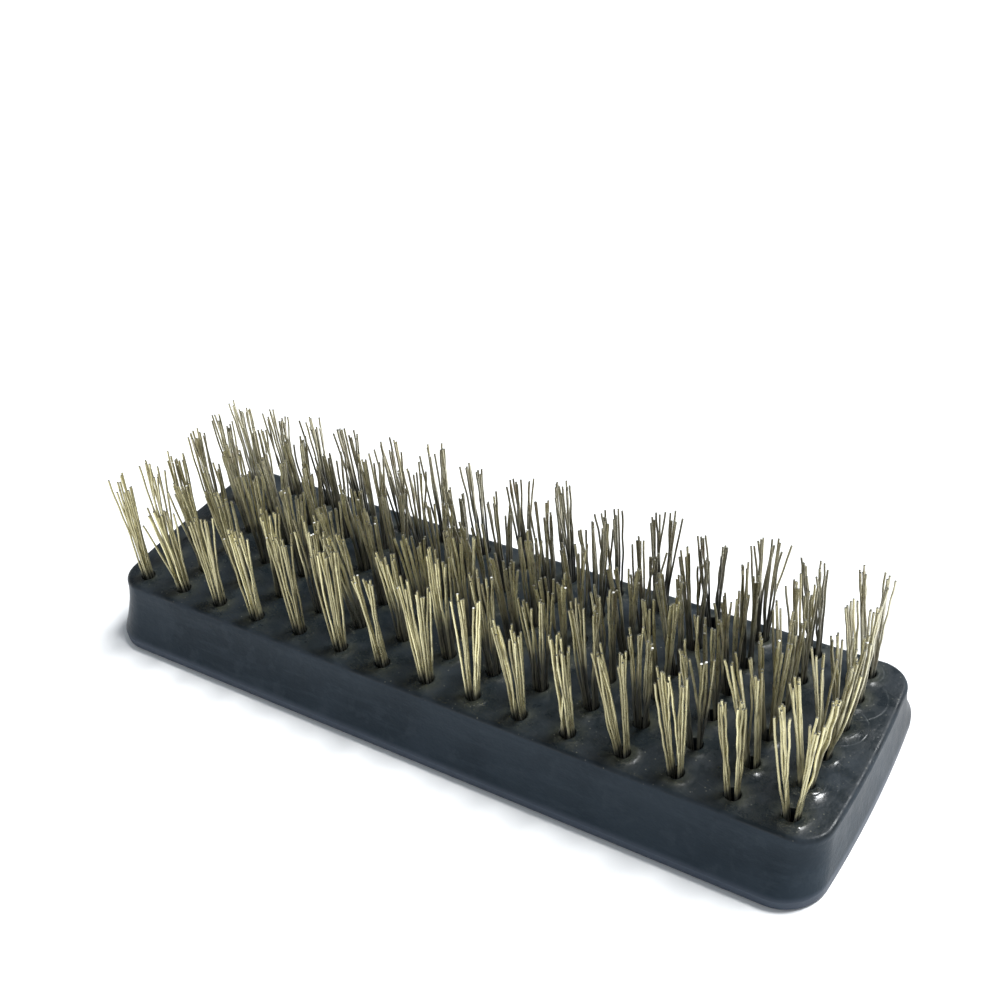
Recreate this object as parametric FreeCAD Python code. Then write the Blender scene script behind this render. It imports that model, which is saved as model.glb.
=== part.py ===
import FreeCAD, Part
import math
import os
import random

# A hand wire brush without a handle: one moulded plastic block set with tufts of
# brass-coated steel wire. The wires of a tuft are doubled over a flat steel anchor,
# which is driven into a blind hole and bites into the plastic with both its ends.
# Millimetres. The back of the block lies in the plane z = 0, centred on the origin,
# the block runs along X, and the wires point up along Z.

# Tuft grid, seen from above with the block's length running left to right
COLUMNS = 15
ROWS = 6
COLUMN_PITCH = 9.5
ROW_PITCH = 6.75
GRID_SHIFT_X = -0.8        # the grid sits a little nearer the left end
GRID_SHIFT_Y = 0.2         # and a little further back
HOLE_WANDER = 0.3          # how far a hole may stray from the grid, each way
WANDER_SEED = 15

# Block: an upright rim round the back, then a wall that leans in to the tufted face,
# strongly on the long sides and hardly at all at the ends, which are slightly convex
BLOCK_THICKNESS = 11.6
BACK_LENGTH = 146.9
BACK_WIDTH = 51.2
BACK_CORNER = 7.6
FACE_LENGTH = 146.0
FACE_WIDTH = 41.7
FACE_CORNER = 5.5
END_CURVE_RADIUS = 240.0
RIM_HEIGHT = 1.9
FLARE_POWER = 1.4          # how late the wall turns outwards on its way down
WAIST = 0.17               # how far the wall is hollowed between rim and face
WALL_SECTIONS = 7
BACK_EDGE_RADIUS = 0.5
FACE_EDGE_RADIUS = 0.8

# Holes and anchors
HOLE_RADIUS = 1.35
HOLE_DEPTH = 8.2
ANCHOR_THICKNESS = 0.5
ANCHOR_WIDTH = 4.0         # wider than the hole, so that both ends bite
ANCHOR_HEIGHT = 2.0
ANCHOR_BEVEL = 0.4
FOLD_DEPTH = 0.8           # wire below the anchor, between it and the hole's floor

# Tufts: each is one solid that stands for its bundle of folded wires
TUFT_HEIGHT = 24.0         # from the tufted face to the tips
TUFT_CLEARANCE = 0.1
TIP_RADIUS = 2.6           # half the spread of the tips
TUFT_SIDES = 8
LEG_GAP_AT_TIPS = 2.2      # the two legs part over the anchor and fan out

FACE = BLOCK_THICKNESS
HOLE_FLOOR = FACE - HOLE_DEPTH
ANCHOR_FOOT = HOLE_FLOOR + FOLD_DEPTH
ANCHOR_HEAD = ANCHOR_FOOT + ANCHOR_HEIGHT
TIPS = FACE + TUFT_HEIGHT

X_AXIS = FreeCAD.Vector(1, 0, 0)
Y_AXIS = FreeCAD.Vector(0, 1, 0)
Z_AXIS = FreeCAD.Vector(0, 0, 1)


def outline(half_length, half_width, corner, height):
    """A rounded rectangle with convex ends, centred on the Z axis at one height."""
    reach = END_CURVE_RADIUS - corner
    side = half_width - corner
    end_centre = FreeCAD.Vector(half_length - END_CURVE_RADIUS, 0, height)
    tilt = math.asin(side / reach)
    corner_centre = end_centre + FreeCAD.Vector(reach * math.cos(tilt), side, 0)
    edges = []
    for turn in (FreeCAD.Rotation(), FreeCAD.Rotation(Z_AXIS, 180)):
        for mirrored in (False, True):
            edges.append(arc(corner_centre, corner, tilt, math.pi / 2, turn, mirrored))
        edges.append(arc(end_centre, END_CURVE_RADIUS, -tilt, tilt, turn, False))
    reach_x = corner_centre.x
    for way in (-1, 1):
        start = FreeCAD.Vector(-way * reach_x, way * half_width, height)
        edges.append(Part.makeLine(start, FreeCAD.Vector(way * reach_x, way * half_width, height)))
    return Part.Wire(Part.__sortEdges__(edges))


def arc(centre, radius, start, end, turn, mirrored):
    """An arc about a centre, turned about the Z axis and perhaps mirrored front to back."""
    points = []
    for angle in (start, (start + end) / 2, end):
        point = centre + FreeCAD.Vector(math.cos(angle), math.sin(angle), 0) * radius
        if mirrored:
            point.y = -point.y
        points.append(turn.multVec(point))
    return Part.Arc(*points).toShape()


def between(low, high, fraction):
    return low + (high - low) * fraction


def wall_outline(fraction):
    """The wall's outline from the top of the rim, 0, to the tufted face, 1."""
    flare = (1 - fraction) ** FLARE_POWER
    hollow = WAIST * math.sin(math.pi * fraction)
    return outline(
        between(FACE_LENGTH / 2, BACK_LENGTH / 2, flare) - hollow,
        between(FACE_WIDTH / 2, BACK_WIDTH / 2, flare) - hollow,
        between(BACK_CORNER, FACE_CORNER, fraction),
        between(RIM_HEIGHT, FACE, fraction),
    )


def edges_at(shape, height):
    """The edges that lie wholly in one horizontal plane."""
    found = []
    for edge in shape.Edges:
        box = edge.BoundBox
        if abs(box.ZMin - height) < 1e-3 and abs(box.ZMax - height) < 1e-3:
            found.append(edge)
    return found


def block_blank():
    """The block before it is drilled."""
    back = outline(BACK_LENGTH / 2, BACK_WIDTH / 2, BACK_CORNER, 0)
    rim = Part.Face(back).extrude(Z_AXIS * RIM_HEIGHT)
    sections = [wall_outline(step / (WALL_SECTIONS - 1)) for step in range(WALL_SECTIONS)]
    blank = rim.fuse(Part.makeLoft(sections, True, False)).removeSplitter()
    blank = blank.makeFillet(BACK_EDGE_RADIUS, edges_at(blank, 0))
    return blank.makeFillet(FACE_EDGE_RADIUS, edges_at(blank, FACE))


def anchor(x, y):
    """A flat strip across the hole, its lower corners bevelled to start the bite."""
    half = ANCHOR_WIDTH / 2
    corners = [
        (-half, ANCHOR_HEAD),
        (-half, ANCHOR_FOOT + ANCHOR_BEVEL),
        (-half + ANCHOR_BEVEL, ANCHOR_FOOT),
        (half - ANCHOR_BEVEL, ANCHOR_FOOT),
        (half, ANCHOR_FOOT + ANCHOR_BEVEL),
        (half, ANCHOR_HEAD),
        (-half, ANCHOR_HEAD),
    ]
    left = x - ANCHOR_THICKNESS / 2
    face = Part.Face(Part.makePolygon([FreeCAD.Vector(left, y + v, z) for v, z in corners]))
    return face.extrude(X_AXIS * ANCHOR_THICKNESS)


def hole(x, y):
    """What drilling one hole and driving its anchor takes out of the block."""
    drilled = Part.makeCylinder(HOLE_RADIUS, HOLE_DEPTH, FreeCAD.Vector(x, y, HOLE_FLOOR))
    return drilled.fuse(anchor(x, y))


def leg_gap(x, y):
    """The wedge of air between a tuft's two legs, with the anchor at its root."""
    half_root = ANCHOR_THICKNESS / 2
    half_top = LEG_GAP_AT_TIPS / 2
    profile = [
        (-half_root, ANCHOR_FOOT),
        (half_root, ANCHOR_FOOT),
        (half_root, ANCHOR_HEAD),
        (half_top, TIPS),
        (-half_top, TIPS),
        (-half_root, ANCHOR_HEAD),
        (-half_root, ANCHOR_FOOT),
    ]
    near = y - COLUMN_PITCH / 2
    face = Part.Face(Part.makePolygon([FreeCAD.Vector(x + u, near, z) for u, z in profile]))
    return face.extrude(Y_AXIS * COLUMN_PITCH)


def tuft_ring(x, y, radius, height):
    """A tuft's outline at one height, with flat sides along and across the block."""
    step = 2 * math.pi / TUFT_SIDES
    corners = []
    for side in range(TUFT_SIDES + 1):
        angle = (side % TUFT_SIDES + 0.5) * step
        corners.append(FreeCAD.Vector(x + radius * math.cos(angle), y + radius * math.sin(angle), height))
    return Part.makePolygon(corners)


def tuft(x, y):
    """A bundle of wires folded under its anchor, with two legs that fan out."""
    stem_radius = HOLE_RADIUS - TUFT_CLEARANCE
    rings = [
        tuft_ring(x, y, stem_radius, HOLE_FLOOR),
        tuft_ring(x, y, stem_radius, FACE),
        tuft_ring(x, y, TIP_RADIUS, TIPS),
    ]
    return Part.makeLoft(rings, True, True).cut(leg_gap(x, y))


def hole_places():
    """Every hole's place, column by column from the left and row by row from the front."""
    wander = random.Random(WANDER_SEED)
    columns = []
    for column in range(COLUMNS):
        x = GRID_SHIFT_X + (column - (COLUMNS - 1) / 2) * COLUMN_PITCH
        places = []
        for row in range(ROWS):
            y = GRID_SHIFT_Y + (row - (ROWS - 1) / 2) * ROW_PITCH
            stray_x = wander.uniform(-HOLE_WANDER, HOLE_WANDER)
            stray_y = wander.uniform(-HOLE_WANDER, HOLE_WANDER)
            places.append((x + stray_x, y + stray_y))
        columns.append(places)
    return columns


def export(shape, node):
    shape.exportStep("parts/" + node + ".step")


os.makedirs("parts", exist_ok=True)
columns = hole_places()
holes = [hole(x, y) for places in columns for x, y in places]
export(block_blank().cut(holes), "block")
for number, places in enumerate(columns, start=1):
    tufts = Part.makeCompound([tuft(x, y) for x, y in places])
    anchors = Part.makeCompound([anchor(x, y) for x, y in places])
    export(tufts, "wire_tufts_column_%02d" % number)
    export(anchors, "anchors_column_%02d" % number)
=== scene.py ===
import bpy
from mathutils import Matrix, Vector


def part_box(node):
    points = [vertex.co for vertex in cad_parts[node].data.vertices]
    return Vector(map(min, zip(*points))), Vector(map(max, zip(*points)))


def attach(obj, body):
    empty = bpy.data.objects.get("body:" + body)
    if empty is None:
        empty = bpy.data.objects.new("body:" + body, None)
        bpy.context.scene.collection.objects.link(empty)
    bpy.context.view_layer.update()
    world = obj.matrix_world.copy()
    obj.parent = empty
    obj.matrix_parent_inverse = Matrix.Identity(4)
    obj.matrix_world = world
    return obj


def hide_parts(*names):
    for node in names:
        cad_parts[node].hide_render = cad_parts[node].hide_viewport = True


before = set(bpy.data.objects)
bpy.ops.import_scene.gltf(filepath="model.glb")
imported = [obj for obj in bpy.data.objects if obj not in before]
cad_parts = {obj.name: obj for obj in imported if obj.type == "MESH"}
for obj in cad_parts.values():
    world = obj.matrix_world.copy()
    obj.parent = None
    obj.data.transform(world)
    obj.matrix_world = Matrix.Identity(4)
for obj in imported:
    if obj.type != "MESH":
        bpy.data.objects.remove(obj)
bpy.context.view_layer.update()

import math
import random

import bpy
import numpy as np
from mathutils import Quaternion, Vector, noise
from mathutils.geometry import delaunay_2d_cdt

# The looks of a hand wire brush without a handle: the moulded block, the folded wires
# of every tuft, and the steel anchors, which are the CAD model's own. Lengths in this
# script are millimetres until a mesh is made, and places come from the CAD frame.

MM = 0.001
ROWS = 6

# Read from the frame
BLOCK_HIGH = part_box("block")[1] / MM
TUFT_NODES = sorted(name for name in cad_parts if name.startswith("wire_tufts_column_"))
ANCHOR_NODES = sorted(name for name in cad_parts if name.startswith("anchors_column_"))
FACE = BLOCK_HIGH.z
TIPS = max(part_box(name)[1].z for name in TUFT_NODES) / MM
HOLE_FLOOR = min(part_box(name)[0].z for name in TUFT_NODES) / MM
ANCHOR_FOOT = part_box(ANCHOR_NODES[0])[0].z / MM
ANCHOR_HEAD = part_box(ANCHOR_NODES[0])[1].z / MM

# Block, as in the CAD model
BACK_CORNER = 7.6
FACE_HALF_LENGTH = 73.0
FACE_HALF_WIDTH = 20.85
FACE_CORNER = 5.5
END_CURVE_RADIUS = 240.0
RIM_HEIGHT = 1.9
FLARE_POWER = 1.4
WAIST = 0.17
BACK_EDGE_RADIUS = 0.5
FACE_EDGE_RADIUS = 0.8
HOLE_RADIUS = 1.35
ANCHOR_WIDTH = 4.0
ANCHOR_THICKNESS = 0.5

# Block mesh: points along one long side, one end and one corner
LONG_STEPS = 118
SHORT_STEPS = 26
CORNER_STEPS = 16

# Block mesh: rings round the face's edge, down the wall, round the back's edge
EDGE_STEPS = 6
WALL_STEPS = 20
BACK_STEPS = 5
RIM_DROPS = (0.05, 0.15, 0.5)              # rings on the rim, below its top
BACK_INSETS = (1.2, 3, 5, 7.3)             # rings across the back, in from its edge

# Holes: points round one, rings on its wall above its floor and below the face, and
# rings round its mouth, by how far outside its wall and how far below the face they are
HOLE_STEPS = 36
WELL_RISE = 2
WELL_DROPS = (3.2, 1.6, 0.8, 0.4, 0.2)
MOUTH_RINGS = ((0.01, 0.1), (0.04, 0.03), (0.1, 0), (0.2, 0), (0.3, 0), (0.45, 0))
DISC_RADIUS = HOLE_RADIUS + MOUTH_RINGS[-1][0]       # the face's triangles begin here

# Points between the holes, in circles where the burrs are and evenly further out
CIRCLE_RADII = (1.97, 2.16, 2.38, 2.63, 2.92, 3.25)
CIRCLE_MARGIN = 0.25                       # the least room to the edge of the face
EVEN_REACH = 3.5                           # the least distance from a hole's middle
EVEN_SPACING = 0.75
EVEN_MARGIN = 0.4
DISC_SLACK = 0.01                          # keeps triangles that touch a hole's outermost ring
MERGE_DISTANCE = 1e-6

# Uneven surfaces are layers of noise, each with its height, its level and its size
FACE_WAVES = ((0.12, 0, 11), (0.06, 7, 3.4))
CRUST = ((0.7, 3, 0.9), (0.2, 5, 0.4))
CRUST_BASE = 0.6
CALM_MARGIN = 2.5                          # nearer the edge of the face, the waves die away

# Burrs: a lip round the whole hole and a mound on one side of it. Their places are out
# from the hole's wall
BURR_SEED = 4
LIP_HEIGHTS = (0.02, 0.09)                 # from, to
LIP_PLACE = 0.3
LIP_WIDTH = 0.24
MOUND_HEIGHT = 0.33                        # of the highest one
END_MOUND_HEIGHT = 0.5                     # the same in the last column
MOUND_SHARES = (0.02, 1)                   # from, to
MOUND_DIRECTION = (-55, 18)                # degrees from the block's length: mean, spread
MOUND_FOCUS = 1.3                          # how narrow a mound is, seen from its hole
CREST_PLACES = (0.8, 1.3)                  # from, to
CREST_WIDTH = 0.65
LOBE_BASE = 0.7                            # the share of a burr's height that is there all round
LOBE_SHARE = 0.6                           # what its lobes add to that, or take away
LOBE_CIRCLE = 2                            # they are noise, read round a circle of this radius
LOBE_SIZE = 0.8

# Smears of melted plastic: column and row from zero, offset from the hole, radius, height
LUMPS = [
    (14, 1, 2.1, -1.6, 2.1, 0.36),
    (14, 4, 1.0, -2.6, 1.2, 0.2),
    (13, 1, 1.2, -2.5, 1.1, 0.16),
    (9, 0, -1.6, -1.5, 1.0, 0.16),
    (8, 0, 2.3, -0.8, 1.0, 0.14),
]
LUMP_TOP = 0.2                             # flat up to this share of the radius

# Olive dusting with a painted bounce of light off the brass, a darker rear wall, specks, and the
# plastic's shine
NEAR_HOLE_REACH = 4.2                           # olive dusting and painted brass bounce reach this far out from a hole's middle
GLAZE_HEIGHTS = (0.04, 0.24)               # raised plastic begins to shine, shines fully
REAR_WALL_FROM = 2                           # further back than this, the wall is darker
SPECK_SPACING = 1.1
PLASTIC_ROUGHNESS = 0.37

# Faint circles turned into the face: from and to of their radius, width and strength
TURNED_SEED = 8
TURNED_CIRCLES = (
    ((2.3, 3.0), (0.15, 0.35), (0.2, 1)),
    ((4.2, 5.8), (0.15, 0.5), (-0.3, 1)),
)
TURNED_CORE = 0.02                         # half the width of a circle's strongest part
TURNED_START = (0.5, 2.5)                  # right of the column's holes, from faint to full

# Wire mesh
WIRE_RADIUS = 0.2
WIRE_SIDES = 8
TIP_DOME = 0.05
FOLD_STEPS = 5
WELL_STEPS = 4
LEG_STEPS = 18

# Tufts
WIRE_SEED = 1000
WIRE_COUNTS = (5, 6, 6, 6)                 # how many folded wires, one of these by chance
LEFT_TUFT, RIGHT_TUFT = 19.4, 20.3         # shortest height of the tufts at the two ends
TUFT_SPREAD = 2.2                          # how much taller than that a tuft may be
REAR_WEAR = 0.9                            # what the rear row has lost where it is lowest
LEG_SPREAD = 0.7                           # of how much lower than the tuft each side ends
TIP_SPREAD = 0.55                          # of a wire's end round that height
TIP_MARGIN = 0.05                          # the least room below the CAD tips
SIDE_MARGIN = 0.6                          # the least room to the end of the block
LONG_TUFTS = {(0, 0): 1.7, (0, 1): 1.0, (14, 0): 1.3}    # extra height; column, row from zero

# Where the wires pass the tufted face, from the hole's middle
LEFT_MOUTH, RIGHT_MOUTH = 0.68, 0.98       # along the block, at its two ends
MOUTH_SPREAD = 0.08
LAYER_STEP = 0.3                           # how much further in every other wire stands
MOUTH_SQUEEZE = 0.75                       # how closely the wires stand across the block
MOUTH_STRAY = 0.04
MOUTH_HALF_WIDTH = 0.95
MOUTH_MARGIN = 0.03                        # the least room to the hole's wall

# Slopes, which are the sideways travel for each millimetre upwards. A pair is a mean
# and its spread. Each has one for along the block and one for across it
LEFT_LEAN, RIGHT_LEAN = 0.05, 0.012        # of a whole tuft, at the two ends
LEAN_SPREAD = 0.02
LEAN_ACROSS = (-0.01, 0.03)
FAN_ALONG = (0.055, 0.015)                 # of all the legs on one side, outwards
FAN_ACROSS = (0, 0.025)
STRAY_ALONG = (0, 0.027)                   # of a single leg away from the others
STRAY_ACROSS = (0, 0.02)
SPLAY = 0.02                               # more across for each millimetre off the middle
ERRANT_SHARE = 0.13                        # of legs that lean over to the other side
ERRANT_SLOPES = (0.03, 0.09)               # from, to
ERRANT_ACROSS = (0, 0.05)
END_SLOPES = (0.10, 0.13, 0.05, 0.03, 0.05, 0.06)   # more for the right legs at the right end
END_WORN_ROWS = 2                          # the front rows where those legs are shorter
END_WEAR = 0.4

# How the wires bend. Cycles are half waves on the whole leg
HINGE_SOFTNESS = 0.9                       # how slowly a leg turns where it leaves the hole
BEND_FULL = 0.35                           # bends grow up to this share of the leg
BOW_SPREAD = 0.25
WAVE_SPREAD = 0.1
WAVE_CYCLES = 2.6
LEFT_CRIMP, RIGHT_CRIMP = 0.06, 0.12       # the most at the two ends
CRIMP_CYCLES = (5, 8)                      # from, to
PHASES = (0, 6)                            # from, to

# What the wires' material reads from the mesh
GLINT_SHARE = 0.05                         # of cut ends painted bright, as cut steel and a painted glint
DULL_CUT = 0.4
FRONT_GREY_AND_RUST, REAR_GREY_AND_RUST = -0.3, 0.9          # the front row's and the rear row's mean; greyer is a painted reflection of the dark block, and brings more rust
GREY_AND_RUST_SPREAD = 0.35
END_TUFT_SHADE = 0.25                         # painted shade among the tufts, in the columns at the two ends, behind the front row
TUFT_SHADE_STEP = 0.4                         # more for each column inwards
TUFT_SHADE_SHARES = (0.86, 1)                 # from, to

# Painted shade on the wires, and their shine. Heights are above the tufted face, from thick to none
TUFT_SHADE_HEIGHTS = (6.0, 12.5)                # of the painted shade among the tufts, on wires behind the front row
TUFT_SHADE_UNEVEN = 9                           # noise moves those heights by up to half of this
FOOT_SHADE_HEIGHTS = (0.3, 2.7)                  # of the painted shade at every wire's foot, by its hole
WIRE_METALLIC = 0.8

# Colours of the plastic, as linear light
SLATE_DEEP = (0.0115, 0.0205, 0.0300, 1)
SLATE_PALE = (0.0190, 0.0300, 0.0420, 1)
FLOW_MARK = (0.027, 0.040, 0.054, 1)
SCUFF = (0.030, 0.042, 0.055, 1)
# Painted light on the rim, from the bright floor in front
RIM_PAINTED_LIGHT = (0.050, 0.064, 0.088, 1)
# The rear wall, darker towards the back
REAR_WALL_DARK = (0.0075, 0.0105, 0.014, 1)
FACE_DEEP = (0.0068, 0.0105, 0.0135, 1)
FACE_PALE = (0.0098, 0.0140, 0.0165, 1)
# Olive dusting, partly a painted bounce of light off the brass wires
DUST_AND_BRASS_BOUNCE = (0.029, 0.031, 0.021, 1)
SCRATCH = (0.05, 0.055, 0.055, 1)
SPECK = (0.13, 0.13, 0.105, 1)
# Painted sheen on the glazed burrs
GLAZE_SHEEN = (0.034, 0.038, 0.036, 1)
TURNED = (0.045, 0.052, 0.054, 1)
EDGE_SCUFF = (0.034, 0.044, 0.056, 1)

# Colours of the wires, anchors and paper
STRAW_DEEP = (0.23, 0.205, 0.110, 1)
STRAW_PALE = (0.92, 0.855, 0.525, 1)
GREY_DEEP = (0.22, 0.21, 0.175, 1)
GREY_PALE = (0.90, 0.86, 0.69, 1)
RUST = (0.27, 0.18, 0.105, 1)
TARNISH = (0.20, 0.175, 0.11, 1)
# Painted shade on the wires, among the tufts and at their feet
PAINTED_SHADE_COLOUR = (0.023, 0.026, 0.026, 1)
CUT_DULL = (0.10, 0.097, 0.075, 1)
# Cut steel, also a painted glint on the few tips that get it
CUT_GLINT_STEEL = (0.6, 0.6, 0.57, 1)
STRIP_CLEAN = (0.42, 0.42, 0.41, 1)
STRIP_STAINED = (0.2, 0.18, 0.15, 1)
PAPER_DEEP = (0.90, 0.90, 0.90, 1)
PAPER_PALE = (0.94, 0.94, 0.94, 1)

# Studio. The world's heights are the sine of the angle above the horizon
FLOOR_HALF = 4000
WALLS_LIGHT = (1.05, 1.05, 1.05, 1)
WALLS_END = 0.2
SKY_LIGHT = (0.25, 0.28, 0.31, 1)
SKY_START = 0.5
KEY_STRENGTH = 5.6
KEY_COLOUR = (0.97, 0.985, 1.0)
KEY_SPREAD = 28                            # degrees
KEY_FROM = Vector((0.5, 0.84, 1.5))

# Camera, at the angle and distance of the photograph, in metres and degrees
CAMERA_PLACE = Vector((0.11425, -0.14500, 0.17489))
CAMERA_AIM = Vector((-0.01619, 0.03227, 0.0116))
CAMERA_LENS = 48.98
CAMERA_SENSOR = 36
CAMERA_NEAR, CAMERA_FAR = 0.01, 20
CAMERA_ROLL = -7.47


# ---------------------------------------------------------------- mesh helpers


class Shape:
    """Points in millimetres and the faces between them."""

    def __init__(self):
        self.points = []
        self.faces = []

    def add(self, points):
        first = len(self.points)
        self.points.extend(tuple(point) for point in points)
        return list(range(first, len(self.points)))

    def bridge(self, lower, upper):
        """Quads between two closed rings with the same number of points."""
        for here in range(len(lower)):
            after = (here + 1) % len(lower)
            self.faces.append((lower[here], lower[after], upper[after], upper[here]))

    def close(self, ring, centre, upwards):
        """Triangles from a closed ring to one point."""
        hub = self.add([centre])[0]
        for here in range(len(ring)):
            pair = (ring[here], ring[(here + 1) % len(ring)])
            self.faces.append((*pair, hub) if upwards else (*reversed(pair), hub))


def make_piece(name, shape, material):
    """A smooth-shaded mesh object in metres from a shape in millimetres."""
    mesh = bpy.data.meshes.new(name)
    mesh.from_pydata((np.array(shape.points) * MM).tolist(), [], shape.faces)
    mesh.polygons.foreach_set("use_smooth", [True] * len(mesh.polygons))
    mesh.materials.append(material)
    piece = bpy.data.objects.new(name, mesh)
    bpy.context.scene.collection.objects.link(piece)
    return piece


def set_number(mesh, name, values):
    """One number on every point, for a material to read."""
    attribute = mesh.attributes.new(name, "FLOAT", "POINT")
    attribute.data.foreach_set("value", np.array(values, np.float32))


def between(low, high, fraction):
    return low + (high - low) * fraction


def smooth_step(low, high, value):
    t = min(max((value - low) / (high - low), 0), 1)
    return t * t * (3 - 2 * t)


def ripple(x, y, z, size):
    """Smooth noise from -1 to 1 with features of about the given size."""
    return noise.noise(Vector((x, y, z)) / size)


def rippled(base, x, y, layers):
    """A base height with layers of noise on it."""
    for height, level, size in layers:
        base += height * ripple(x, y, level, size)
    return base


def circle(steps, shift=0):
    """The angles of points spaced evenly round a circle."""
    return [2 * math.pi * (step + shift) / steps for step in range(steps)]


# ---------------------------------------------------------------- holes


def anchor_places(node):
    """The middles of one column's anchors, front row first."""
    low, high = (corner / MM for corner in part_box(node))
    pitch = (high.y - low.y - ANCHOR_WIDTH) / (ROWS - 1)
    rows = [[] for _ in range(ROWS)]
    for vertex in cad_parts[node].data.vertices:
        place = vertex.co / MM
        rows[round((place.y - low.y - ANCHOR_WIDTH / 2) / pitch)].append(place)
    middles = []
    for row in rows:
        xs = [place.x for place in row]
        ys = [place.y for place in row]
        middles.append(((min(xs) + max(xs)) / 2, (min(ys) + max(ys)) / 2))
    return middles


COLUMN_PLACES = [anchor_places(node) for node in ANCHOR_NODES]
LAST_COLUMN = len(COLUMN_PLACES) - 1
HOLES = [place for places in COLUMN_PLACES for place in places]
HOLE_ARRAY = np.array(HOLES)


def nearest_hole(x, y):
    """The number of the nearest hole and how far away its middle is."""
    gaps = np.hypot(HOLE_ARRAY[:, 0] - x, HOLE_ARRAY[:, 1] - y)
    number = int(gaps.argmin())
    return number, float(gaps[number])


# ---------------------------------------------------------------- block


def end_curve(half_length, half_width, corner):
    """Where an outline's end arc and corner arc have their centres, and where they meet."""
    reach = END_CURVE_RADIUS - corner
    tilt = math.asin((half_width - corner) / reach)
    end_x = half_length - END_CURVE_RADIUS
    return end_x, end_x + reach * math.cos(tilt), half_width - corner, tilt


def arc(centre_x, centre_y, radius, start, end, steps):
    """Points along an arc, without its last one."""
    angles = [between(start, end, step / steps) for step in range(steps)]
    return [(centre_x + radius * math.cos(a), centre_y + radius * math.sin(a)) for a in angles]


def outline(half_length, half_width, corner, height):
    """A closed rounded rectangle with convex ends, anticlockwise from above."""
    end_x, corner_x, corner_y, tilt = end_curve(half_length, half_width, corner)
    half = arc(corner_x, -corner_y, corner, -math.pi / 2, -tilt, CORNER_STEPS)
    half += arc(end_x, 0, END_CURVE_RADIUS, -tilt, tilt, SHORT_STEPS)
    half += arc(corner_x, corner_y, corner, tilt, math.pi / 2, CORNER_STEPS)
    side = [between(corner_x, -corner_x, step / LONG_STEPS) for step in range(LONG_STEPS)]
    half += [(x, half_width) for x in side]
    return [(x, y, height) for x, y in half] + [(-x, -y, height) for x, y in half]


def inside_outline(x, y, half_length, half_width, corner):
    """How far a point lies inside such an outline; negative outside."""
    end_x, corner_x, corner_y, tilt = end_curve(half_length, half_width, corner)
    past_x = abs(x) - corner_x
    past_y = abs(y) - corner_y
    if math.atan2(past_y, past_x) > tilt and past_x > 0:
        return corner - math.hypot(past_x, past_y)
    return min(half_width - abs(y), END_CURVE_RADIUS - math.hypot(abs(x) - end_x, y))


class Burr:
    """The plastic that the drill and the anchor pushed up round one hole."""

    def __init__(self, dice, strength):
        self.lip = dice.uniform(*LIP_HEIGHTS)
        self.mound = strength * dice.uniform(*MOUND_SHARES)
        self.front = math.radians(dice.gauss(*MOUND_DIRECTION))
        self.crest = dice.uniform(*CREST_PLACES)
        self.seed = dice.uniform(0, 100)

    def lift(self, offset_x, offset_y):
        """How high it stands at an offset from the hole's middle, with lobes round the hole."""
        gap = math.hypot(offset_x, offset_y) - HOLE_RADIUS
        angle = math.atan2(offset_y, offset_x)
        facing = max(math.cos(angle - self.front), 0) ** MOUND_FOCUS
        ring = math.exp(-(((gap - LIP_PLACE) / LIP_WIDTH) ** 2))
        ridge = math.exp(-(((gap - self.crest) / CREST_WIDTH) ** 2))
        noise_x = LOBE_CIRCLE * math.cos(angle)
        noise_y = LOBE_CIRCLE * math.sin(angle)
        lobes = LOBE_BASE + LOBE_SHARE * ripple(noise_x, noise_y, self.seed, LOBE_SIZE)
        return (self.lip * ring + self.mound * ridge * facing) * lobes


def all_burrs():
    """One burr for each hole, column by column."""
    dice = random.Random(BURR_SEED)
    burrs = []
    for column, places in enumerate(COLUMN_PLACES):
        strength = END_MOUND_HEIGHT if column == LAST_COLUMN else MOUND_HEIGHT
        burrs.extend(Burr(dice, strength) for _ in places)
    return burrs


BURRS = all_burrs()


def lump_height(x, y):
    """The few spots where the plastic melted and smeared beside a hole."""
    total = 0.0
    for column, row, offset_x, offset_y, radius, height in LUMPS:
        hole_x, hole_y = COLUMN_PLACES[column][row]
        share = math.hypot(x - hole_x - offset_x, y - hole_y - offset_y) / radius
        total += height * rippled(CRUST_BASE, x, y, CRUST) * (1 - smooth_step(LUMP_TOP, 1, share))
    return total


def burr_height(x, y):
    """How far the plastic that was pushed up or smeared stands above the face."""
    number = nearest_hole(x, y)[0]
    hole_x, hole_y = HOLES[number]
    return lump_height(x, y) + BURRS[number].lift(x - hole_x, y - hole_y)


def face_height(x, y):
    """The tufted face with its slow waves and the burrs round its holes."""
    margin = inside_outline(x, y, FACE_HALF_LENGTH, FACE_HALF_WIDTH, FACE_CORNER)
    calm = smooth_step(FACE_EDGE_RADIUS, CALM_MARGIN, margin)
    return FACE + calm * (rippled(0, x, y, FACE_WAVES) + burr_height(x, y))


def hole_rings(shape, number):
    """A hole's floor, wall and rim. Returns the outermost ring."""
    hole_x, hole_y = HOLES[number]

    def ring(radius):
        return [
            (hole_x + radius * math.cos(angle), hole_y + radius * math.sin(angle))
            for angle in circle(HOLE_STEPS)
        ]

    heights = [HOLE_FLOOR, HOLE_FLOOR + WELL_RISE] + [FACE - drop for drop in WELL_DROPS]
    rings = [shape.add([(x, y, height) for x, y in ring(HOLE_RADIUS)]) for height in heights]
    for gap, drop in MOUTH_RINGS:
        rings.append(shape.add([(x, y, face_height(x, y) - drop) for x, y in ring(HOLE_RADIUS + gap)]))
    for inner, outer in zip(rings, rings[1:]):
        shape.bridge(outer, inner)
    shape.close(rings[0], (hole_x, hole_y, HOLE_FLOOR), True)
    return rings[-1]


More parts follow.
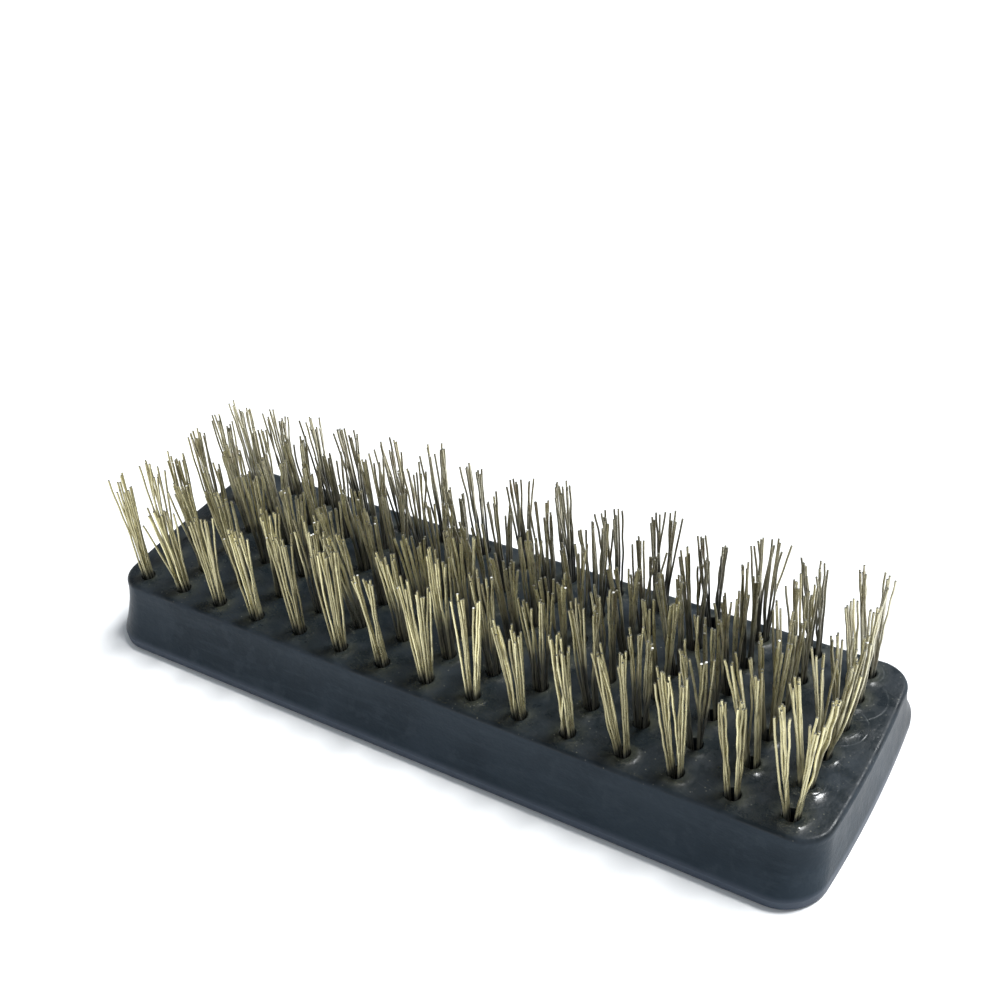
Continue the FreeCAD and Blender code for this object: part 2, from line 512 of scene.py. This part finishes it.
def face_ring(inset, height):
    """What outline() needs to draw the edge of the face, drawn in by some distance."""
    return FACE_HALF_LENGTH - inset, FACE_HALF_WIDTH - inset, FACE_CORNER - inset, height


def back_ring(inset, height):
    """The same for the edge of the back."""
    return BLOCK_HIGH.x - inset, BLOCK_HIGH.y - inset, BACK_CORNER - inset, height


def wall_ring(fraction):
    """The same for the wall, from the top of the rim, 0, to the tufted face, 1."""
    flare = (1 - fraction) ** FLARE_POWER
    hollow = WAIST * math.sin(math.pi * fraction)
    return (
        between(FACE_HALF_LENGTH, BLOCK_HIGH.x, flare) - hollow,
        between(FACE_HALF_WIDTH, BLOCK_HIGH.y, flare) - hollow,
        between(BACK_CORNER, FACE_CORNER, fraction),
        between(RIM_HEIGHT, FACE, fraction),
    )


def face_fill():
    """Extra points that carry the face's waves and burrs between holes and edge."""
    half_length, half_width, corner, _ = face_ring(FACE_EDGE_RADIUS, FACE)

    def room(x, y):
        return inside_outline(x, y, half_length, half_width, corner)

    points = []
    for number, (hole_x, hole_y) in enumerate(HOLES):
        for radius in CIRCLE_RADII:
            for angle in circle(HOLE_STEPS, 0.5):
                x = hole_x + radius * math.cos(angle)
                y = hole_y + radius * math.sin(angle)
                if nearest_hole(x, y)[0] == number and room(x, y) > CIRCLE_MARGIN:
                    points.append((x, y))
    for row in range(int(2 * half_width / EVEN_SPACING)):
        shift = 0.25 + 0.5 * (row % 2)         # every other row is half a step further on
        for column in range(int(2 * half_length / EVEN_SPACING)):
            x = -half_length + (column + shift) * EVEN_SPACING
            y = -half_width + (row + 0.5) * EVEN_SPACING
            if nearest_hole(x, y)[1] > EVEN_REACH and room(x, y) > EVEN_MARGIN:
                points.append((x, y))
    return points


def face_sheet(shape, edge_ring, discs):
    """Triangles over the tufted face, from its rounded edge to the holes' rings."""
    fixed = edge_ring + [point for disc in discs for point in disc]
    flat = [shape.points[index][:2] for index in fixed]
    fill = face_fill()
    indices = fixed + shape.add([(x, y, face_height(x, y)) for x, y in fill])
    borders = []
    first = 0
    for ring in [edge_ring] + discs:
        count = len(ring)
        borders.extend((first + here, first + (here + 1) % count) for here in range(count))
        first += count
    places = [Vector(place) for place in flat + fill]
    _, _, triangles, origins, _, _ = delaunay_2d_cdt(places, borders, [], 0, MERGE_DISTANCE)
    disc_inside = DISC_RADIUS * math.cos(math.pi / HOLE_STEPS) - DISC_SLACK
    for triangle in triangles:
        corners = [origins[corner][0] for corner in triangle]
        middle = sum((places[corner] for corner in corners), Vector((0, 0))) / 3
        if nearest_hole(*middle)[1] > disc_inside:
            shape.faces.append(tuple(indices[corner] for corner in corners))


def block_rings():
    """The block's outside from the edge of the tufted face down to the flat back."""
    rings = []
    for step in range(EDGE_STEPS + 1):
        angle = math.pi / 2 * step / EDGE_STEPS
        inset = FACE_EDGE_RADIUS * (1 - math.sin(angle))
        drop = FACE_EDGE_RADIUS * (1 - math.cos(angle))
        rings.append(face_ring(inset, FACE - drop))
    below_edge = (FACE - FACE_EDGE_RADIUS - RIM_HEIGHT) / (FACE - RIM_HEIGHT)
    for step in range(1, WALL_STEPS + 1):
        rings.append(wall_ring(below_edge * (1 - step / WALL_STEPS)))
    for drop in RIM_DROPS:
        rings.append(back_ring(0, RIM_HEIGHT - drop))
    for step in range(BACK_STEPS + 1):
        angle = math.pi / 2 * step / BACK_STEPS
        inset = BACK_EDGE_RADIUS * (1 - math.cos(angle))
        rings.append(back_ring(inset, BACK_EDGE_RADIUS * (1 - math.sin(angle))))
    for inset in BACK_INSETS:
        rings.append(back_ring(inset, 0))
    return rings


def glaze_at(x, y, z):
    """How much the plastic shines, as it does where it melted and stands up."""
    if z <= FACE - FACE_EDGE_RADIUS / 2:
        return 0
    return smooth_step(*GLAZE_HEIGHTS, burr_height(x, y))


def build_block(material):
    shape = Shape()
    rings = [shape.add(outline(*ring)) for ring in block_rings()]
    for upper, lower in zip(rings, rings[1:]):
        shape.bridge(lower, upper)
    shape.close(rings[-1], (0, 0, 0), False)
    discs = [hole_rings(shape, number) for number in range(len(HOLES))]
    face_sheet(shape, rings[0], discs)
    block = make_piece("moulded_block", shape, material)
    gaps = [nearest_hole(x, y)[1] for x, y, _ in shape.points]
    set_number(block.data, "near_hole", [1 - smooth_step(HOLE_RADIUS, NEAR_HOLE_REACH, gap) for gap in gaps])
    set_number(block.data, "glaze", [glaze_at(*point) for point in shape.points])
    return block


# ---------------------------------------------------------------- wires


class Leg:
    """One of a folded wire's two legs, from the anchor's head to the cut tip."""

    def __init__(self, mouth, well, slope, top):
        self.mouth = mouth            # where it passes the tufted face, from the hole's middle
        self.well = well              # where it passes the anchor's head
        self.slope = slope            # sideways travel for each millimetre upwards
        self.top = top
        self.bends = []

    def bend(self, amount, direction, cycles, phase):
        """Let the leg stray from its straight line by a number of half waves."""
        way = Vector((math.cos(direction), math.sin(direction)))
        self.bends.append((way * amount, math.pi * cycles, phase))

    def at(self, height):
        """The leg's sideways place at one height."""
        rise = height - FACE
        below = (self.mouth - self.well) / (FACE - ANCHOR_HEAD)
        hinge = HINGE_SOFTNESS * math.log1p(math.exp(rise / HINGE_SOFTNESS))
        place = self.mouth + below * rise + (self.slope - below) * hinge
        share = max(rise, 0) / (self.top - FACE)
        for way, turn, phase in self.bends:
            place = place + way * math.sin(turn * share + phase) * smooth_step(0, BEND_FULL, share)
        return place

    def points(self):
        """The leg's middle line above the anchor's head, upwards."""
        heights = [between(ANCHOR_HEAD, FACE, step / WELL_STEPS) for step in range(WELL_STEPS)]
        heights += [between(FACE, self.top, step / LEG_STEPS) for step in range(LEG_STEPS + 1)]
        return [Vector((*self.at(height), height)) for height in heights]


def wire_line(left, right, shift):
    """A folded wire's middle line, from one tip down round the anchor and up again."""
    reach = ANCHOR_THICKNESS / 2 + WIRE_RADIUS
    middle = ANCHOR_FOOT + ANCHOR_THICKNESS / 2
    fold = []
    for step in range(FOLD_STEPS + 1):
        angle = math.pi * (1 + step / FOLD_STEPS)
        fold.append(Vector((reach * math.cos(angle), shift, middle + reach * math.sin(angle))))
    return list(reversed(left.points())) + fold + right.points()


def add_tube(shape, line, numbers, marks, glints):
    """A tube with cut ends along a line. `numbers` gets one row per point."""
    normal = Vector((0, 1, 0))
    rings = []
    for index, place in enumerate(line):
        before = line[max(index - 1, 0)]
        after = line[min(index + 1, len(line) - 1)]
        forward = (after - before).normalized()
        normal = (normal - forward * normal.dot(forward)).normalized()
        side = forward.cross(normal)
        ring = []
        for angle in circle(WIRE_SIDES):
            ring.append(place + (normal * math.cos(angle) + side * math.sin(angle)) * WIRE_RADIUS)
        rings.append(shape.add(ring))
        numbers.extend([(place.z - FACE, 0, *marks)] * WIRE_SIDES)
    for lower, upper in zip(rings, rings[1:]):
        shape.bridge(lower, upper)
    for end, neighbour, glint in ((0, 1, glints[0]), (-1, -2, glints[1])):
        inward = (line[neighbour] - line[end]).normalized()
        cut = shape.add([Vector(shape.points[index]) for index in rings[end]])
        shape.close(cut, line[end] - inward * TIP_DOME, end == -1)
        numbers.extend([(line[end].z - FACE, glint, *marks)] * (WIRE_SIDES + 1))


def mouth_place(side, shift, middle):
    """Where a leg passes the face, always inside the hole's wall."""
    reach = HOLE_RADIUS - WIRE_RADIUS - MOUTH_MARGIN
    across = min(max(shift, -MOUTH_HALF_WIDTH), MOUTH_HALF_WIDTH)
    along = math.sqrt(reach * reach - across * across)
    return Vector((side * min(along, middle), across))


def any_way(dice):
    return dice.uniform(0, 2 * math.pi)


class Tuft:
    """How the legs of one tuft stand as a whole."""

    def __init__(self, dice, column, row):
        self.along = column / LAST_COLUMN
        height = between(LEFT_TUFT, RIGHT_TUFT, self.along) + dice.uniform(0, TUFT_SPREAD)
        height += LONG_TUFTS.get((column, row), 0)
        height -= REAR_WEAR * row / (ROWS - 1) * math.sin(math.pi * self.along ** 2)
        lean_along = between(LEFT_LEAN, RIGHT_LEAN, self.along) + dice.gauss(0, LEAN_SPREAD)
        lean = Vector((lean_along, dice.gauss(*LEAN_ACROSS)))
        self.count = dice.choice(WIRE_COUNTS)
        self.mouth = between(LEFT_MOUTH, RIGHT_MOUTH, self.along)
        self.mouth += dice.uniform(-MOUTH_SPREAD, MOUTH_SPREAD)
        self.slopes = {}
        self.tops = {}
        for side in (-1, 1):
            fan = Vector((side * dice.gauss(*FAN_ALONG), dice.gauss(*FAN_ACROSS)))
            self.slopes[side] = lean + fan
            self.tops[side] = height - abs(dice.gauss(0, LEG_SPREAD))
        if column == LAST_COLUMN:
            self.slopes[1].x += END_SLOPES[row]
            self.tops[1] -= END_WEAR if row < END_WORN_ROWS else 0

    def leg(self, dice, side, wire, shift, place):
        """One wire's leg on one side of the tuft whose hole is at the given place."""
        across = shift * MOUTH_SQUEEZE + dice.gauss(0, MOUTH_STRAY)
        mouth = mouth_place(side, across, self.mouth - LAYER_STEP * (wire % 2))
        stray = Vector((dice.gauss(*STRAY_ALONG), dice.gauss(*STRAY_ACROSS) + mouth.y * SPLAY))
        if dice.random() < ERRANT_SHARE:
            stray += Vector((-side * dice.uniform(*ERRANT_SLOPES), dice.gauss(*ERRANT_ACROSS)))
        slope = self.slopes[side] + stray
        top = min(FACE + self.tops[side] + dice.gauss(0, TIP_SPREAD), TIPS - TIP_MARGIN)
        room = BLOCK_HIGH.x - SIDE_MARGIN - abs(place[0]) - abs(mouth.x)
        slope.x = math.copysign(min(abs(slope.x), room / (top - FACE)), slope.x)
        well = Vector((side * (ANCHOR_THICKNESS / 2 + WIRE_RADIUS), shift))
        leg = Leg(mouth, well, slope, top)
        leg.bend(abs(dice.gauss(0, BOW_SPREAD)), any_way(dice), 1, 0)
        leg.bend(abs(dice.gauss(0, WAVE_SPREAD)), any_way(dice), WAVE_CYCLES, dice.uniform(*PHASES))
        crimp = dice.uniform(0, between(LEFT_CRIMP, RIGHT_CRIMP, self.along ** 3))
        leg.bend(crimp, any_way(dice), dice.uniform(*CRIMP_CYCLES), dice.uniform(*PHASES))
        return leg


def wire_marks(dice, column, row):
    """How pale a wire is, how grey it is painted as reflecting the dark block, which also sets its
    rust, and how much painted shade the tufts round it give it.
    """
    grey_reflection_and_rust = between(FRONT_GREY_AND_RUST, REAR_GREY_AND_RUST, row / (ROWS - 1)) + dice.uniform(-GREY_AND_RUST_SPREAD, GREY_AND_RUST_SPREAD)
    inwards = min(column, LAST_COLUMN - column)
    # painted shade among the tufts: none on the front row, less towards the end columns
    tuft_shade = min(row, 1) * min(END_TUFT_SHADE + TUFT_SHADE_STEP * inwards, 1)
    shade_among_tufts = tuft_shade * dice.uniform(*TUFT_SHADE_SHARES)
    return dice.random(), min(max(grey_reflection_and_rust, 0), 1), shade_among_tufts


def build_tuft(shape, numbers, column, row, place):
    """The folded wires of one tuft."""
    dice = random.Random(WIRE_SEED + column * ROWS + row)
    tuft = Tuft(dice, column, row)
    middle = Vector((*place, 0))
    for wire in range(tuft.count):
        shift = (wire - (tuft.count - 1) / 2) * 2 * WIRE_RADIUS
        left, right = [tuft.leg(dice, side, wire, shift, place) for side in (-1, 1)]
        line = wire_line(left, right, shift)
        glints = [1 if dice.random() < GLINT_SHARE else DULL_CUT for _ in range(2)]
        marks = wire_marks(dice, column, row)
        add_tube(shape, [middle + point for point in line], numbers, marks, glints)


def build_column(column, material):
    shape = Shape()
    numbers = []
    for row, place in enumerate(COLUMN_PLACES[column]):
        build_tuft(shape, numbers, column, row, place)
    piece = make_piece("folded_wires_column_%02d" % (column + 1), shape, material)
    names = ("above_face", "cut_end", "wire_shade", "grey_reflection_and_rust", "shade_among_tufts")
    for name, values in zip(names, zip(*numbers)):
        set_number(piece.data, name, values)
    return piece


# ---------------------------------------------------------------- materials


class Nodes:
    """Short calls that add nodes to one material."""

    def __init__(self, name):
        self.material = bpy.data.materials.new(name)
        self.material.use_nodes = True
        self.tree = self.material.node_tree
        self.shader = self.tree.nodes["Principled BSDF"]

    def node(self, kind, inputs=None, **settings):
        made = self.tree.nodes.new(kind)
        for key, value in settings.items():
            setattr(made, key, value)
        self.feed(made, inputs or {})
        return made

    def feed(self, node, inputs):
        for key, value in inputs.items():
            if isinstance(value, bpy.types.NodeSocket):
                self.tree.links.new(value, node.inputs[key])
            else:
                node.inputs[key].default_value = value

    def where(self, stretch=(1, 1, 1), turn=(0, 0, 0)):
        """The object's own coordinates in millimetres, turned and then stretched."""
        coordinates = self.node("ShaderNodeTexCoord").outputs["Object"]
        inputs = {"Vector": coordinates, "Rotation": turn}
        turned = self.node("ShaderNodeVectorRotate", inputs, rotation_type="EULER_XYZ")
        return self.vectors("MULTIPLY", turned.outputs[0], [value / MM for value in stretch]).outputs[0]

    def distance(self, where, place):
        """How far every point is from one place."""
        offset = self.vectors("SUBTRACT", where, place)
        return self.vectors("LENGTH", offset.outputs[0]).outputs["Value"]

    def vectors(self, operation, first, second=(0, 0, 0)):
        return self.node("ShaderNodeVectorMath", {0: first, 1: second}, operation=operation)

    def noise(self, where, size, detail=3, roughness=0.5):
        inputs = {"Vector": where, "Scale": 1 / size, "Detail": detail, "Roughness": roughness}
        return self.node("ShaderNodeTexNoise", inputs).outputs["Fac"]

    def cells(self, where, size):
        """How far each place is from its nearest seed, in cells of about one size."""
        inputs = {"Vector": where, "Scale": 1 / size}
        return self.node("ShaderNodeTexVoronoi", inputs).outputs["Distance"]

    def remap(self, value, low, high, new_low=0, new_high=1):
        """Carry one range smoothly over to another, and hold what lies outside at its ends."""
        inputs = {0: value, 1: low, 2: high, 3: new_low, 4: new_high}
        return self.node("ShaderNodeMapRange", inputs, interpolation_type="SMOOTHSTEP").outputs[0]

    def split(self, where):
        return self.node("ShaderNodeSeparateXYZ", {0: where}).outputs

    def math(self, operation, first, second=0.0):
        return self.node("ShaderNodeMath", {0: first, 1: second}, operation=operation).outputs[0]

    def plus(self, first, second):
        return self.math("ADD", first, second)

    def minus(self, first, second):
        return self.math("SUBTRACT", first, second)

    def times(self, first, second):
        return self.math("MULTIPLY", first, second)

    def mix(self, share, first, second):
        made = self.node("ShaderNodeMix", data_type="RGBA")
        self.feed(made, {0: share, 6: first, 7: second})
        return made.outputs[2]

    def number(self, name):
        return self.node("ShaderNodeAttribute", attribute_name=name).outputs["Fac"]

    def bump(self, height, depth, after=None):
        """A bump of the given depth in millimetres."""
        inputs = {"Height": height, "Distance": depth * MM, "Strength": 1.0}
        if after is not None:
            inputs["Normal"] = after
        return self.node("ShaderNodeBump", inputs).outputs[0]


class Plastic(Nodes):
    """The block's plastic. Its colour, shine and relief share a few patterns."""

    def __init__(self):
        super().__init__("slate_plastic")
        self.place = self.where()
        self.height = self.split(self.place)[2]
        self.cloud = self.noise(self.place, size=16, detail=4)
        self.patch = self.noise(self.place, size=3.5, detail=4, roughness=0.6)
        self.scratch = self.noise(self.where(stretch=(0.25, 3, 3), turn=(0, 0, 0.35)), size=1, detail=2)
        self.near_hole = self.number("near_hole")
        self.glaze = self.number("glaze")
        self.turned = self.turned_circles()
        self.face = self.remap(self.height, FACE - FACE_EDGE_RADIUS, FACE - FACE_EDGE_RADIUS / 4)
        self.edge = self.scuffed_edge()

    def turned_circles(self):
        """Faint circles turned into the face round the last column's holes, at its open end."""
        dice = random.Random(TURNED_SEED)
        total = 0.0
        for hole in COLUMN_PLACES[-1]:
            distance = self.distance(self.place, (*hole, FACE))
            for ranges in TURNED_CIRCLES:
                radius, width, strength = [dice.uniform(*limits) for limits in ranges]
                gap = self.math("ABSOLUTE", self.minus(distance, radius))
                total = self.plus(total, self.remap(gap, TURNED_CORE, width, max(strength, 0), 0))
        first_x = COLUMN_PLACES[-1][0][0]
        starts = [first_x + start for start in TURNED_START]
        open_end = self.remap(self.split(self.place)[0], *starts)
        worn_away = self.remap(self.noise(self.place, size=3, detail=2), 0.4, 0.6, 0.15, 1)
        return self.times(self.times(total, worn_away), open_end)

    def scuffed_edge(self):
        """The rounded edge between face and wall, scuffed here and there."""
        gap = self.math("ABSOLUTE", self.minus(self.height, FACE - FACE_EDGE_RADIUS / 2))
        scuffs = self.noise(self.place, size=7, detail=4, roughness=0.65)
        return self.times(self.remap(gap, 0.1, 0.6, 0.7, 0), self.remap(scuffs, 0.38, 0.66, 0.1, 1))

    def wall_colour(self):
        """Clouds, flow marks, scuffs, a rim painted pale as lit by the bright floor in front, and a
        darker rear side.
        """
        flow = self.noise(self.where(stretch=(0.12, 1, 1)), size=1.6, detail=4, roughness=0.6)
        colour = self.mix(self.remap(self.cloud, 0.38, 0.62), SLATE_DEEP, SLATE_PALE)
        colour = self.mix(self.remap(flow, 0.48, 0.72, 0, 0.5), colour, FLOW_MARK)
        colour = self.mix(self.remap(self.patch, 0.5, 0.66, 0, 0.4), colour, SCUFF)
        # the rim painted paler, as lit by the bright floor in front
        rim = self.remap(self.height, RIM_HEIGHT - 0.25, RIM_HEIGHT + 0.8, 0.9, 0)
        colour = self.mix(rim, colour, RIM_PAINTED_LIGHT)
        # the wall darker towards the back
        rear_share = self.remap(self.split(self.place)[1], REAR_WALL_FROM, BLOCK_HIGH.y, 0, 0.75)
        return self.mix(rear_share, colour, REAR_WALL_DARK)

    def face_colour(self):
        """Clouds, olive dusting round the holes that is partly a painted bounce of light off the brass,
        scratches, specks, glazed burrs with a painted sheen, and turned circles.
        """
        colour = self.mix(self.remap(self.cloud, 0.35, 0.65), FACE_DEEP, FACE_PALE)
        # olive dusting round the holes, partly a painted bounce of light off the brass
        dust_and_bounce = self.times(self.remap(self.patch, 0.38, 0.62, 0.1, 1), self.near_hole)
        colour = self.mix(dust_and_bounce, colour, DUST_AND_BRASS_BOUNCE)
        colour = self.mix(self.remap(self.scratch, 0.66, 0.74, 0, 0.35), colour, SCRATCH)
        specks = self.remap(self.cells(self.place, SPECK_SPACING), 0.06, 0.17, 1, 0)
        specks = self.times(specks, self.remap(self.patch, 0.42, 0.58))
        colour = self.mix(self.times(specks, 0.8), colour, SPECK)
        # a painted sheen on the glazed burrs
        colour = self.mix(self.times(self.glaze, 0.5), colour, GLAZE_SHEEN)
        return self.mix(self.times(self.turned, 0.6), colour, TURNED)

    def colour(self):
        surface = self.mix(self.face, self.wall_colour(), self.face_colour())
        return self.mix(self.edge, surface, EDGE_SCUFF)

    def roughness(self):
        sheen = self.remap(self.patch, 0.36, 0.64, -0.11, 0.09)
        sheen = self.times(sheen, self.remap(self.face, 0, 1, 0.25, 1))
        rough = self.plus(self.plus(sheen, PLASTIC_ROUGHNESS), self.times(self.edge, 0.3))
        rough = self.minus(rough, self.times(self.near_hole, 0.08))
        rough = self.plus(rough, self.remap(self.face, 0, 1, 0.06, 0))
        return self.minus(rough, self.times(self.glaze, 0.13))

    def gloss(self):
        gloss = self.plus(self.remap(self.face, 0, 1, 0.14, 0.2), self.times(self.glaze, 0.4))
        return self.minus(gloss, self.times(self.edge, 0.12))

    def relief(self):
        """Dents, pits, turned circles, scratches and grain, each on the ones before."""
        dents = self.times(self.patch, self.remap(self.face, 0, 1, 0.4, 1))
        pits = self.noise(self.place, size=1.3, detail=3, roughness=0.6)
        grain = self.noise(self.place, size=0.3, detail=3, roughness=0.6)
        normal = None
        for pattern, depth in (
            (dents, 0.12), (pits, 0.07), (self.turned, -0.05), (self.scratch, 0.03), (grain, 0.012),
        ):
            normal = self.bump(pattern, depth, normal)
        return normal


def plastic_material():
    plastic = Plastic()
    plastic.feed(plastic.shader, {
        "Base Color": plastic.colour(),
        "Roughness": plastic.roughness(),
        "Specular IOR Level": plastic.gloss(),
        "Normal": plastic.relief(),
    })
    return plastic.material


def wire_metal(nodes, blotch):
    """The clean wire: straw, or grey where it is painted as reflecting the dark block, pale or deep by
    chance, with rust on the greyed wires and tarnish.
    """
    tone = nodes.plus(nodes.times(nodes.number("wire_shade"), 0.75), nodes.times(blotch, 0.25))
    grey_reflection_and_rust = nodes.number("grey_reflection_and_rust")
    straw = nodes.mix(tone, STRAW_DEEP, STRAW_PALE)
    grey = nodes.mix(tone, GREY_DEEP, GREY_PALE)
    # the rear rows greyer, a painted reflection of the dark block
    colour = nodes.mix(grey_reflection_and_rust, straw, grey)
    rust = nodes.remap(nodes.noise(nodes.where(), size=5), 0.54, 0.7, 0, 0.5)
    colour = nodes.mix(nodes.times(rust, grey_reflection_and_rust), colour, RUST)
    return nodes.mix(nodes.remap(blotch, 0.52, 0.7, 0, 0.6), colour, TARNISH)


def wire_painted_shade(nodes, blotch):
    """Painted shade that climbs the wires standing among the tufts, and some at every wire's foot."""
    height = nodes.number("above_face")
    uneven = nodes.plus(height, nodes.times(nodes.minus(blotch, 0.5), TUFT_SHADE_UNEVEN))
    shade_from_tufts = nodes.times(nodes.number("shade_among_tufts"), nodes.remap(uneven, *TUFT_SHADE_HEIGHTS, 0.97, 0))
    # painted shade at every wire's foot, by its hole
    return nodes.math("MAXIMUM", shade_from_tufts, nodes.remap(height, *FOOT_SHADE_HEIGHTS, 0.94, 0))


def wire_material():
    nodes = Nodes("brass_coated_steel")
    cut = nodes.number("cut_end")
    streak = nodes.noise(nodes.where(stretch=(9, 9, 0.5)), size=1)
    blotch = nodes.noise(nodes.where(stretch=(1, 1, 0.35)), size=1.6)
    # painted shade among the tufts and at the wires' feet, which also dulls the metal like a coating
    painted_shade = wire_painted_shade(nodes, blotch)
    colour = nodes.mix(painted_shade, wire_metal(nodes, blotch), PAINTED_SHADE_COLOUR)
    colour = nodes.mix(nodes.remap(cut, 0, 0.3), colour, CUT_DULL)
    # a few tips painted as bright cut steel, standing for glints
    colour = nodes.mix(nodes.remap(cut, 0.6, 1), colour, CUT_GLINT_STEEL)
    rough = nodes.plus(nodes.remap(streak, 0.3, 0.7, 0.24, 0.38), nodes.times(painted_shade, 0.3))
    nodes.feed(nodes.shader, {
        "Base Color": colour,
        "Metallic": nodes.minus(WIRE_METALLIC, nodes.times(painted_shade, 0.65)),
        "Roughness": nodes.plus(rough, nodes.remap(cut, 0, 0.3, 0, 0.3)),
        "Normal": nodes.bump(streak, depth=0.02),
    })
    return nodes.material


def anchor_material():
    nodes = Nodes("anchor_strip_steel")
    lines = nodes.noise(nodes.where(stretch=(1, 0.4, 12)), size=1)
    stain = nodes.noise(nodes.where(), size=1.2)
    nodes.feed(nodes.shader, {
        "Base Color": nodes.mix(nodes.remap(stain, 0.4, 0.7), STRIP_CLEAN, STRIP_STAINED),
        "Metallic": 1.0,
        "Roughness": nodes.remap(lines, 0.3, 0.7, 0.3, 0.55),
        "Normal": nodes.bump(lines, depth=0.02),
    })
    return nodes.material


def floor_material():
    nodes = Nodes("white_paper")
    pulp = nodes.noise(nodes.where(), size=2.5, detail=4)
    nodes.feed(nodes.shader, {
        "Base Color": nodes.mix(pulp, PAPER_DEEP, PAPER_PALE),
        "Roughness": nodes.remap(pulp, 0.3, 0.7, 0.85, 0.95),
        "Specular IOR Level": 0.2,
    })
    return nodes.material


# ---------------------------------------------------------------- studio


def build_floor(material):
    shape = Shape()
    corners = [(-FLOOR_HALF, -FLOOR_HALF), (FLOOR_HALF, -FLOOR_HALF)]
    corners += [(-x, -y) for x, y in corners]
    shape.faces.append(tuple(shape.add([(x, y, 0) for x, y in corners])))
    floor = make_piece("studio_floor", shape, material)


def build_world():
    """Bright walls all round, and a dimmer sky above them."""
    world = bpy.data.worlds.new("studio")
    world.use_nodes = True
    tree = world.node_tree
    where = tree.nodes.new("ShaderNodeTexCoord")
    split = tree.nodes.new("ShaderNodeSeparateXYZ")
    ramp = tree.nodes.new("ShaderNodeValToRGB")
    tree.links.new(where.outputs["Generated"], split.inputs[0])
    tree.links.new(split.outputs["Z"], ramp.inputs["Fac"])
    tree.links.new(ramp.outputs["Color"], tree.nodes["Background"].inputs["Color"])
    walls, sky = ramp.color_ramp.elements
    walls.position = WALLS_END
    walls.color = WALLS_LIGHT
    sky.position = SKY_START
    sky.color = SKY_LIGHT
    bpy.context.scene.world = world


def build_key():
    """A wide, soft sun from the right rear."""
    sun = bpy.data.lights.new("soft_key", "SUN")
    sun.energy = KEY_STRENGTH
    sun.color = KEY_COLOUR
    sun.angle = math.radians(KEY_SPREAD)
    key = bpy.data.objects.new("soft_key", sun)
    key.rotation_mode = "QUATERNION"
    key.rotation_quaternion = KEY_FROM.to_track_quat("Z", "Y")
    bpy.context.scene.collection.objects.link(key)


def build_camera():
    data = bpy.data.cameras.new("photo_angle")
    data.lens = CAMERA_LENS
    data.sensor_width = CAMERA_SENSOR
    data.clip_start = CAMERA_NEAR
    data.clip_end = CAMERA_FAR
    camera = bpy.data.objects.new("photo_angle", data)
    camera.location = CAMERA_PLACE
    level = (CAMERA_AIM - CAMERA_PLACE).to_track_quat("-Z", "Y")
    camera.rotation_mode = "QUATERNION"
    camera.rotation_quaternion = level @ Quaternion((0, 0, 1), math.radians(CAMERA_ROLL))
    bpy.context.scene.collection.objects.link(camera)
    bpy.context.scene.camera = camera


# ---------------------------------------------------------------- scene

block = build_block(plastic_material())
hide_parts("block")
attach(block, "root")

brass = wire_material()
for column, node in enumerate(TUFT_NODES):
    wires = build_column(column, brass)
    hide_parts(node)
    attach(wires, "root")

strip_steel = anchor_material()
for node in ANCHOR_NODES:
    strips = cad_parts[node]
    strips.data.materials.clear()
    strips.data.materials.append(strip_steel)

build_floor(floor_material())
build_world()
build_key()
build_camera()
bpy.context.scene.view_settings.view_transform = "Standard"
